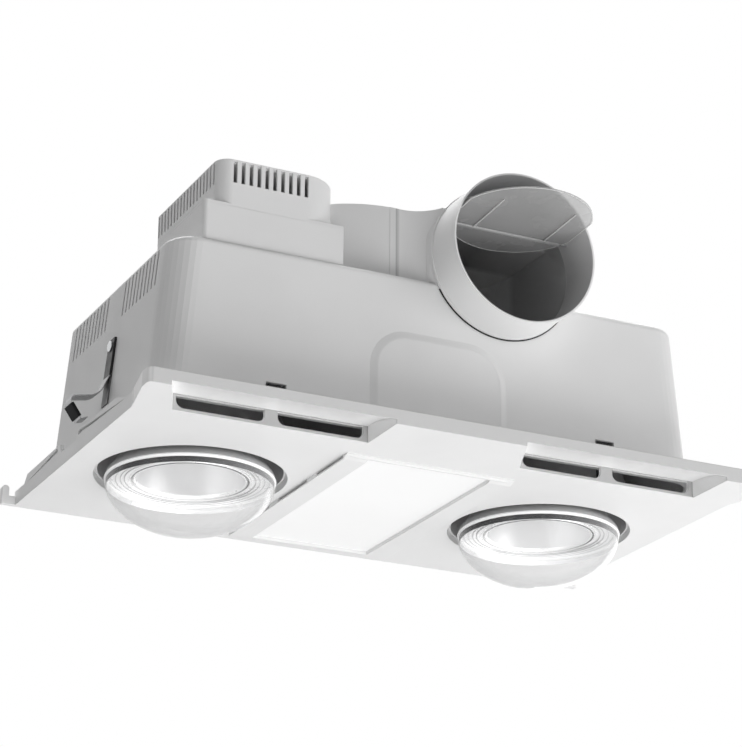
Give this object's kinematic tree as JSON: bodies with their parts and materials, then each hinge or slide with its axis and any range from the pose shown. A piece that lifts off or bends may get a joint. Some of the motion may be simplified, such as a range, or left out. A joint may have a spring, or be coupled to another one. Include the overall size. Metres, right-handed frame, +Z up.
{
  "type": "bathroom heater exhaust fan",
  "caption": "Recessed ceiling unit for a bathroom: two heat lamps and a light panel in a flat fascia, with a scroll fan above that blows through a round side spigot with a backdraft flap.",
  "frame": {"origin": "middle of the four ceiling fixing holes, on the ceiling plane, which is the middle of the fascia's plan", "axes": "+Z up into the ceiling void, +X along the fascia's length, -Y towards the duct spigot and the air scoops"},
  "size_m": [0.5, 0.3229, 0.2663],
  "materials": {
    "white_moulding": "satin white",
    "opal_diffuser": "opal, lit from behind",
    "white_metal": "gloss white inside",
    "light_board": "white mask",
    "driver_case": "plain",
    "zinc_steel": "zinc plated",
    "lamp_glass": "clear bowl, silvered back",
    "cap_metal": "rolled thread",
    "filament_wire": "drawn",
    "grey_metal": "matt",
    "ceramic": "glazed ceramic",
    "grey_moulding": "fine matt",
    "pale_moulding": "fine matt",
    "black_moulding": "fine matt",
    "clear_film": "translucent",
    "steel_wire": "ground",
    "dark_moulding": "fine matt",
    "rotor_steel": "laminated",
    "winding": "lacquered",
    "bronze": "sintered",
    "block_moulding": "plain",
    "brass_screw": "bright",
    "capacitor_case": "plain",
    "spring_steel": "bright spring steel",
    "clip_rubber": "dipped sleeve"
  },
  "bodies": {
    "unit": {"fascia_panel": "white_moulding", "centre_module": "white_moulding", "led_diffuser": "opal_diffuser", "led_tray": "white_metal", "led_board": "light_board", "led_driver": "driver_case", "module_screws": "zinc_steel", "lamp_glass_left": "lamp_glass", "lamp_glass_right": "lamp_glass", "lamp_cap_left": "cap_metal", "lamp_cap_right": "cap_metal", "lamp_filament_left": "filament_wire", "lamp_filament_right": "filament_wire", "lamp_shroud_left": "grey_metal", "lamp_shroud_right": "grey_metal", "lampholder_left": "ceramic", "lampholder_right": "ceramic", "lamp_bracket_left": "zinc_steel", "lamp_bracket_right": "zinc_steel", "housing": "grey_moulding", "fascia_latches": "black_moulding", "fan_scroll": "pale_moulding", "inlet_plate": "pale_moulding", "scroll_screws": "zinc_steel", "flap_axle": "steel_wire", "motor_can": "zinc_steel", "motor_stator": "winding", "motor_bearings": "bronze", "motor_bracket": "zinc_steel", "terminal_base": "grey_moulding", "terminal_cover": "grey_moulding", "terminal_block": "block_moulding", "terminal_screws": "brass_screw", "cover_screws": "zinc_steel", "run_capacitor": "capacitor_case", "cable_gland": "black_moulding", "clip_bracket_left": "spring_steel", "clip_bracket_right": "spring_steel", "clip_screws": "zinc_steel"},
    "flap_body": {"flap": "clear_film"},
    "fan_rotor": {"fan_wheel": "dark_moulding", "wheel_nut": "zinc_steel", "motor_shaft": "steel_wire", "motor_rotor": "rotor_steel"},
    "clip_left": {"clip_leaf_left": "spring_steel", "clip_foot_left": "clip_rubber"},
    "clip_right": {"clip_leaf_right": "spring_steel", "clip_foot_right": "clip_rubber"}
  },
  "joints": [
    {"name": "flap_swing", "type": "hinge", "parent": "unit", "child": "flap_body", "pos_m": [0.053, -0.097, 0.1695], "axis": [1, 0, 0], "range_deg": [0, 92.75]},
    {"name": "fan_spin", "type": "hinge", "parent": "unit", "child": "fan_rotor", "pos_m": [-0.018, -0.005, 0.15], "axis": [0, 0, 1], "continuous": true},
    {"name": "clip_left_flex", "type": "hinge", "parent": "unit", "child": "clip_left", "pos_m": [-0.21784, 0.013, 0.044], "axis": [0, -1, 0], "range_deg": [-15, 12], "stiffness_Nm_per_rad": 1.4},
    {"name": "clip_right_flex", "type": "hinge", "parent": "unit", "child": "clip_right", "pos_m": [0.21784, 0.013, 0.044], "axis": [0, 1, 0], "range_deg": [-15, 12], "stiffness_Nm_per_rad": 1.4}
  ]
}
